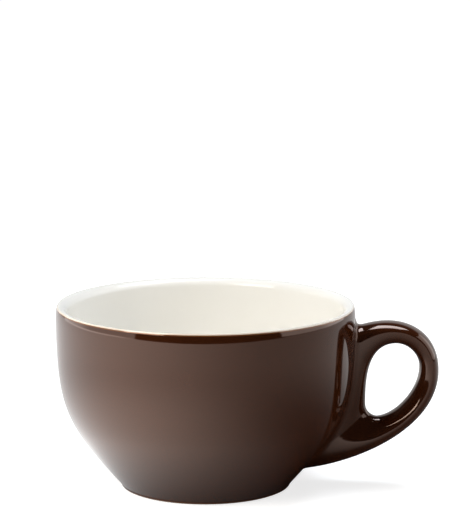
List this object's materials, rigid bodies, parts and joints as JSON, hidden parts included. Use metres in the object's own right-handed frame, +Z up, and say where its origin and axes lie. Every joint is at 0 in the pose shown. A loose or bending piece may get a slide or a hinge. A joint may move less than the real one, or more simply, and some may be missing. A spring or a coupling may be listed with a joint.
{
  "type": "latte cup",
  "caption": "Wide round-bellied coffee cup with an ear-shaped handle, brown glaze outside and cream glaze inside, standing on a bare foot ring.",
  "frame": {"origin": "on the table under the middle of the overall length, so the bowl's axis is 15.5 mm towards -X", "axes": "+X from the bowl towards the handle, +Z up, +Y to the far side when the handle is on the right"},
  "size_m": [0.1415, 0.1106, 0.068],
  "materials": {
    "bare_clay": "bare fired clay, matt",
    "brown_glaze": "glossy chocolate-brown glaze",
    "cream_glaze": "glossy cream-white glaze"
  },
  "bodies": {
    "root": {"cup_body": "bare_clay", "handle": "bare_clay", "joining_slip": "bare_clay", "brown_glaze": "brown_glaze", "cream_glaze": "cream_glaze", "base_glaze": "brown_glaze"}
  },
  "joints": []
}
